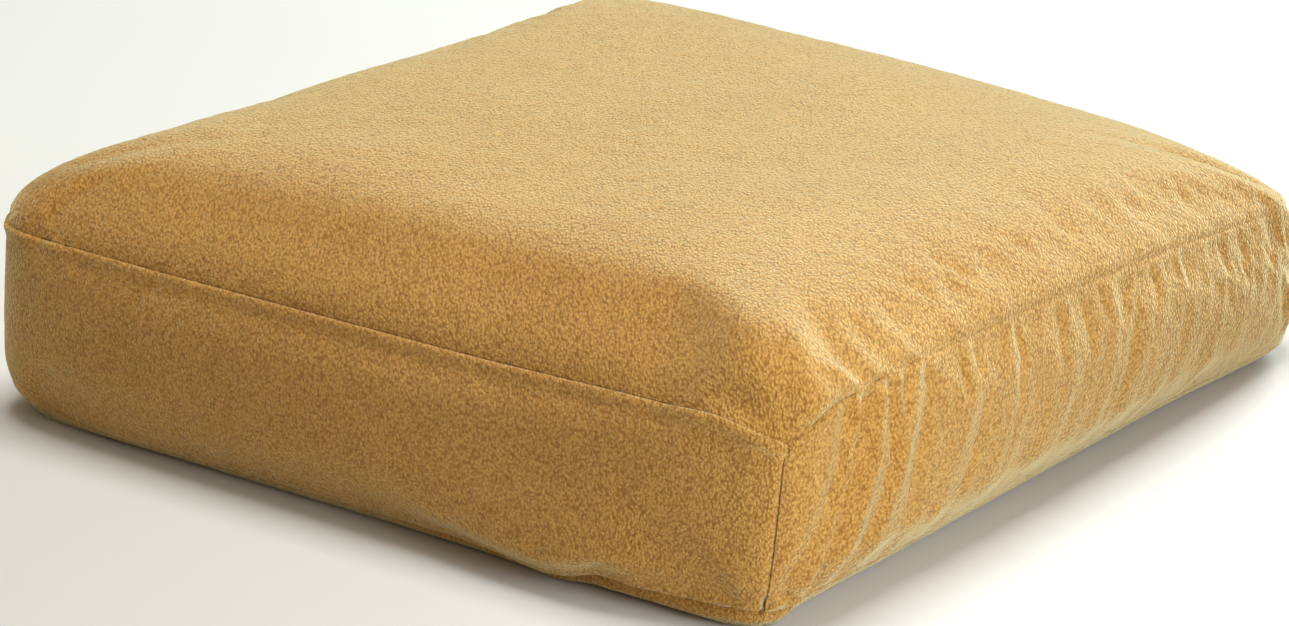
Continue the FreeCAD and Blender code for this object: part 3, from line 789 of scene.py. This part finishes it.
def cover_piece(name, outer, node):
    """A panel of the cover: a closed sheet of cloth under a grid of its outer surface."""
    piece = new_piece(name, node, "cover_cloth", *cloth_shell(outer, CLOTH))


def panel(name, grid, step, node, depth, ledge=0.0, puff=0.5 * MM):
    """One sewn panel of the cover as a closed sheet of cloth. Returns its outer surface."""
    across, up = fine_places(grid.shape[0] - 1, step), fine_places(grid.shape[1] - 1, step)
    outer = seamed(refine(grid, across, up), edge_distance(grid, across, up), depth, puff)
    if ledge:
        outer = ledged(outer, np.linalg.norm(outer - outer[:, -1:], axis=-1), ledge)
    cover_piece(name, outer, node)
    return outer


def zip_edge(x):
    """Half height of the zip's window at a place along the zip: it closes past the ends."""
    closed = 0.4 * MM
    past_end = smooth((np.abs(x) - ZIP_END - 7 * MM) / (5 * MM))
    return closed + (ZIP_WINDOW - closed) * (1 - past_end)


def rear_panel(name, grid, upper, node):
    """The rear boxing above or below the zip, with a rounded fold along the zip's window."""
    across = fine_places(COUNT, 0.25)
    rows = np.linspace(0, ROWS, ROWS * 8 + 1)
    fine = refine(grid, across, rows)
    columns = []
    spread = np.linspace(0, 1, 46) ** 1.15
    part = spread if upper else 1 - spread
    for column in fine:
        known = column[:, 2]
        edge = ZIP_Z + zip_edge(column[len(column) // 2, 0]) * (1 if upper else -1)
        seam = known[-1] if upper else known[0]
        heights = np.sort(seam - (seam - edge) * part)
        columns.append(np.stack([np.interp(heights, known, column[:, axis]) for axis in range(3)], -1))
    outer = np.array(columns)
    seam_row = -1 if upper else 0
    from_seam = np.linalg.norm(outer - outer[:, seam_row][:, None], axis=-1)
    cell = 2 * HALF / COUNT
    from_end = np.minimum(across, COUNT - across)[:, None] * cell
    outer = seamed(outer, np.minimum(from_end, from_seam), 1.0 * MM)
    radius = (CLOTH + 0.1 * MM) * 0.98
    toward_zip = np.array([0, 0, -1 if upper else 1])
    if not upper:
        outer = outer[:, ::-1]
    out = normals(outer) * (1 if upper else -1)
    edge, edge_out = outer[:, 0], out[:, 0]
    fold = [edge - edge_out * radius * (1 - math.cos(angle)) + toward_zip * radius * math.sin(angle)
            for angle in np.radians(range(30, 180, 30))]
    hem = [outer[:, row] - out[:, row] * 2 * radius for row in (0, 2, 4, 7)]
    outer = np.concatenate([np.stack(hem[::-1] + fold[::-1], 1), outer], axis=1)
    if not upper:
        outer = outer[:, ::-1]
    cover_piece(name, outer, node)


# ---- threads

def around(grid):
    """The outer edge of a fine top or bottom grid as one closed path of points."""
    loop = edge_loop(*grid.shape[:2])
    return grid.reshape(-1, 3)[np.append(loop, loop[0])]


def seam_path(edge, sink):
    """A stitch path along a seam, sunk from it towards the cushion's middle, and the way out of the
    cloth at each point."""
    out = edge.copy()
    out[:, 2] = 0
    out = out / np.linalg.norm(out, axis=1, keepdims=True)
    return edge - out * sink, out


def zip_rows():
    """The two straight rows of stitches that hold the zip."""
    low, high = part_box("zipper_stitching")
    x = np.linspace(low.x, high.x, 200)
    out = np.tile((0.0, 1.0, 0.0), (len(x), 1))
    return [(np.stack([x, np.full_like(x, high.y), np.full_like(x, z)], -1), out)
            for z in (low.z + 0.4 * MM, high.z - 0.4 * MM)]


# ---- zip

def zip_tape(end):
    """One zip tape, upper or lower: a woven strip with ribs along it."""
    upper = end == "upper"
    low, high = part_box("zipper_tape_" + end)
    across = np.linspace(low.x, high.x, 240)
    up = np.linspace(low.z, high.z, 34)
    x, z = np.meshgrid(across, up, indexing="ij")
    from_coil = (z - low.z) if upper else (high.z - z)
    ribs = 0.05 * MM * np.cos(from_coil / (1.25 * MM) * TAU)
    wave = 0.12 * MM * Noise(21)(x / (23 * MM), z / (9 * MM))
    y = high.y - 0.1 * MM + ribs + wave * smooth(from_coil / (6 * MM))
    outer = np.stack([x, np.minimum(y, high.y), z], -1)[::-1]
    piece = new_piece("tape_" + end, "zipper_tape_" + end, "zip_tape", *cloth_shell(outer, TAPE))


def zip_coil(end):
    """One half of the zip's chain: a flattened helix of nylon wire that hooks the other half."""
    upper = end == "upper"
    low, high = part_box("zipper_coil_" + end)
    pitch, wire = 1.4 * MM, 0.3 * MM
    turns = int((high.x - low.x) / pitch) - 1
    steps = 14
    angle = np.arange(turns * steps + 1) * TAU / steps
    deep = (high.y - low.y) / 2 - wire
    tall = (high.z - low.z) / 2 - wire / 2
    shift = 0.0 if upper else 0.5
    x = low.x + pitch * (0.6 + shift + angle / TAU)
    y = (low.y + high.y) / 2 + deep * np.sin(angle)
    height = np.sign(np.cos(angle)) * np.abs(np.cos(angle)) ** 0.75 * tall
    z = (low.z + high.z) / 2 + (1 if upper else -1) * (height - 0.15 * MM)
    centre = np.stack([x, y, z], -1)
    heading = np.gradient(centre, axis=0)
    heading /= np.linalg.norm(heading, axis=1, keepdims=True)
    side_way = np.cross(heading, (1.0, 0, 0))
    side_way /= np.linalg.norm(side_way, axis=1, keepdims=True)
    third = np.cross(heading, side_way)
    sides = np.arange(6) * TAU / 6
    wire_points = (centre[:, None] + wire * (side_way[:, None] * np.cos(sides)[:, None]
                                             + third[:, None] * np.sin(sides)[:, None]))
    count = len(centre)
    index = np.arange(count * 6).reshape(count, 6)
    turned = np.roll(index, -1, axis=1)
    quads = np.stack([index[:-1], turned[:-1], turned[1:], index[1:]], -1).reshape(-1, 4).tolist()
    quads += [index[0, ::-1].tolist(), index[-1].tolist()]
    new_piece("coil_" + end, "zipper_coil_" + end, "zip_coil", wire_points.reshape(-1, 3), quads)


# ---- insert

def welded(grids):
    """Points and quads of several grids whose edges meet, with the meeting points made one."""
    points, faces, start = [], [], 0
    for grid in grids:
        points.append(grid.reshape(-1, 3))
        faces.append(grid_faces(*grid.shape[:2], start))
        start += grid.shape[0] * grid.shape[1]
    return joined_to_itself(np.concatenate(points), np.concatenate(faces))


def vertex_normals(points, faces):
    """Unit normals at the points of a mesh of quads."""
    corners = points[faces]
    face_normals = np.cross(corners[:, 2] - corners[:, 0], corners[:, 3] - corners[:, 1])
    total = np.zeros_like(points)
    for step in range(4):
        np.add.at(total, faces[:, step], face_normals)
    return total / np.maximum(np.linalg.norm(total, axis=1, keepdims=True), 1e-12)


def layer(grids, depth, thickness):
    """A closed layer that lies a depth inside the cover's grids, with the thickness given."""
    points, faces = welded(grids)
    inward = -vertex_normals(points, faces)
    count = len(points)
    both = np.concatenate([points + inward * depth, points + inward * (depth + thickness)])
    edges = np.concatenate([faces[:, [step, (step + 1) % 4]] for step in range(4)])
    known = {(a, b) for a, b in edges.tolist()}
    rim = [(b, a, a + count, b + count) for a, b in known if (b, a) not in known]
    return both, np.concatenate([faces, faces[:, ::-1] + count, np.array(sorted(rim)).reshape(-1, 4)])


def thinned(top, boxing, bottom):
    """The cover's grids with half the points, and the bottom facing down."""
    top, bottom, *boxing = [drawn_in(grid[::2, ::2]) for grid in (top, bottom, *boxing)]
    return top, boxing, bottom.transpose(1, 0, 2)


def drawn_in(points):
    """The insert's points moved out of the cover's near corner, which the filling doesn't reach, and
    away from the zip, where the slider runs."""
    near = bump(np.hypot(points[..., 0] - HALF, points[..., 1] + HALF) / (70 * MM))
    upper = smooth((points[..., 2] - 50 * MM) / (60 * MM))
    rear = smooth((points[..., 1] - HALF + 30 * MM) / (20 * MM))
    return (points + (near * upper)[..., None] * np.array([-6, 6, -12]) * MM
            + rear[..., None] * np.array([0, -3, 0]) * MM)


def foam_block():
    """The foam core: a cut block with softened edges that has taken the cushion's settled shape."""
    low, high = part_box("foam_core")
    radius = 22 * MM
    steps = np.linspace(-1, 1, 41)
    a, b = np.meshgrid(steps, steps, indexing="ij")
    grids = []
    for axis, sign in (("z", 1), ("z", -1), ("x", 1), ("x", -1), ("y", 1), ("y", -1)):
        ones = np.full_like(a, sign)
        first, second = (a, b) if sign > 0 else (b, a)
        cube = {"z": (first, second, ones), "x": (ones, first, second), "y": (second, ones, first)}[axis]
        grids.append(np.stack(cube, -1))
    points, faces = welded(grids)
    size = np.array([high.x, high.y, (high.z - low.z) / 2])
    inner = size - radius
    spread = points * size
    core = np.clip(spread, -inner, inner)
    away = spread - core
    reach = np.linalg.norm(away, axis=1, keepdims=True)
    rounded = core + away / reach.clip(1e-9) * np.minimum(reach, radius)
    rounded[:, 2] += (high.z + low.z) / 2
    across, deep = np.abs(rounded[:, 0]), np.abs(rounded[:, 1])
    inset = HALF - (across ** 12 + deep ** 12) ** (1 / 12)
    roll = ROLL_RISE * np.sqrt(1 - (1 - np.clip(inset / max(ROLLS), 0, 1)) ** ROLL_POWER)
    rounded[:, 2] = np.minimum(rounded[:, 2], SEAM_HIGH + roll - 17 * MM)
    return drawn_in(settle(rounded)), faces


def make_insert(top, boxing, bottom):
    """The insert case, the wadding and the foam, each inside the last."""
    top, boxing, bottom = thinned(top, boxing, bottom)
    case_cut = (INSERT_SIDE + ALLOWANCE, INSERT_SIDE + ALLOWANCE)
    band_cut = (120 * MM, 4 * INSERT_SIDE)
    for name, end, grids, depth, flat, rests_on in (
            ("insert_case", "top", [top], CASE_DEPTH, case_cut, ["wadding_upper"]),
            ("insert_band", "band", boxing, CASE_DEPTH, band_cut, ["wadding_upper", "wadding_lower"]),
            ("insert_floor", "bottom", [bottom], 2.6 * MM, case_cut, ["wadding_lower"])):
        piece = new_piece(name, "insert_case_" + end, "case_cloth", *layer(grids, depth, CASE))
    half = boxing[0].shape[1] // 2
    over = [top] + [grid[:, half:] for grid in boxing]
    under = [bottom] + [grid[:, :half + 1] for grid in boxing]
    for name, node, grids, thickness in (("wadding_upper", "wadding_top", over, 11 * MM),
                                         ("wadding_lower", "wadding_bottom", under, 8 * MM)):
        piece = new_piece(name, node, "wadding", *layer(grids, CASE_DEPTH + 1.2 * MM, thickness))
    new_piece("foam_block", "foam_core", "foam", *foam_block())


# ---- the object

top, boxing, bottom = cover_grids()
top, boxing, bottom = swell(top, boxing, bottom)
top = near_corner(top)

fine_top = panel("cover_top", top, 0.5, "top_panel", 0.15 * MM, puff=0.0)
fine_bottom = panel("cover_bottom", bottom.transpose(1, 0, 2), 1, "bottom_panel",
                    1.2 * MM)
walls = {}
for side, depth, ledge, puff in ((FRONT, 0.6, 2.2, 0.3), (RIGHT, 0.1, 0.5, 0.2), (LEFT, 0.8, 1.8, 0.3)):
    walls[side] = panel("cover_" + SIDE_NAMES[side], boxing[side], 0.25, SIDE_NAMES[side] + "_boxing",
                        depth * MM, ledge * MM, puff * MM)
rear_panel("cover_rear_upper", boxing[REAR], True, "rear_boxing_upper")
rear_panel("cover_rear_lower", boxing[REAR], False, "rear_boxing_lower")

upright_seams = [walls[FRONT][0], walls[FRONT][-1], walls[RIGHT][-1], walls[LEFT][0]]
sunk = 0.3 * MM
for name, node, paths in (
        ("stitches_top", "top_seam_thread", [seam_path(around(fine_top), 3 * sunk)]),
        ("stitches_bottom", "bottom_seam_thread", [seam_path(around(fine_bottom), sunk)]),
        ("stitches_corners", "corner_seam_threads", [seam_path(seam, sunk) for seam in upright_seams]),
        ("stitches_zip", "zipper_stitching", zip_rows())):
    new_piece(name, node, "sewing_thread", *dashes(paths))

zip_tape("upper")
zip_tape("lower")
zip_coil("upper")
zip_coil("lower")
for node, slot in (("zipper_slider", "slider_metal"), ("zipper_pull_tab", "slider_metal"),
                   ("zipper_top_stops", "zip_stop"), ("zipper_bottom_stop", "zip_stop")):
    mesh = bpy.data.objects[node].data
    mesh.materials.clear()
    mesh.materials.append(LOOKS[slot])

make_insert(top, boxing, bottom)


# ---- studio

def stage_floor():
    """A plain pale floor: one large flat sheet with a very slight change of tone."""
    look = Look("floor", {"Roughness": 0.8, "Specular IOR Level": 0.1})
    tone = look.ramp(look.noise(look.place, 1.5, 2), 0.2, (0.71,) * 3, 0.8, (0.74,) * 3)
    look.feed(look.shader, {"Base Color": tone})
    size = 12.0
    edge = [(-size, -size, 0), (size, -size, 0), (size, size, 0), (-size, size, 0)]
    mesh = bpy.data.meshes.new("floor")
    mesh.from_pydata(edge, [], [(0, 1, 2, 3)])
    mesh.materials.append(LOOKS["floor"])
    floor = bpy.data.objects.new("floor", mesh)
    bpy.context.scene.collection.objects.link(floor)


def area_light(name, place, target, size, power, colour):
    """A soft square light that looks at a point."""
    lamp = bpy.data.lights.new(name, "AREA")
    lamp.shape = "SQUARE"
    lamp.size = size
    lamp.energy = power
    lamp.color = colour
    light = bpy.data.objects.new(name, lamp)
    light.location = place
    light.rotation_euler = (Vector(target) - Vector(place)).to_track_quat("-Z", "Y").to_euler()
    bpy.context.scene.collection.objects.link(light)


def studio_light():
    """Soft daylight from behind and overhead, with a weak fill from the right."""
    world = bpy.data.worlds.new("studio")
    world.use_nodes = True
    background = world.node_tree.nodes["Background"]
    background.inputs["Color"].default_value = (1.0, 0.88, 0.64, 1)
    background.inputs["Strength"].default_value = 0.24
    bpy.context.scene.world = world
    area_light("window", (-0.15, 3.6, 1.25), (0, 0, 0.1), 1.5, 175, (0.88, 1.0, 1.0))
    area_light("overhead", (0, 0, 2.8), (0, 0, 0.1), 1.4, 60, (1.0, 0.98, 0.92))
    area_light("fill", (0.95, -0.42, 0.35), (0.3, -0.3, 0.1), 0.4, 5, (0.9, 1.0, 1.05))


def make_camera():
    """The camera at the photograph's angle, with its small roll and shift."""
    azimuth, elevation, roll = math.radians(36.0), math.radians(18.31), math.radians(0.75)
    distance, target = 2.124, Vector((0, 0, 75 * MM))
    toward = Vector((math.sin(azimuth) * math.cos(elevation), -math.cos(azimuth) * math.cos(elevation),
                     math.sin(elevation)))
    right = Vector((math.cos(azimuth), math.sin(azimuth), 0))
    up = toward.cross(right)
    rolled_right = right * math.cos(roll) + up * math.sin(roll)
    rolled_up = up * math.cos(roll) - right * math.sin(roll)
    lens = bpy.data.cameras.new("camera")
    lens.lens = 95.2
    lens.sensor_width = 36.0
    lens.shift_x = -0.0223
    lens.shift_y = -0.0407
    camera = bpy.data.objects.new("camera", lens)
    turned = Matrix((rolled_right, rolled_up, toward)).transposed().to_4x4()
    camera.matrix_world = Matrix.Translation(toward * distance + target) @ turned
    bpy.context.scene.collection.objects.link(camera)
    bpy.context.scene.camera = camera


stage_floor()
studio_light()
make_camera()
bpy.context.scene.view_settings.view_transform = "Standard"
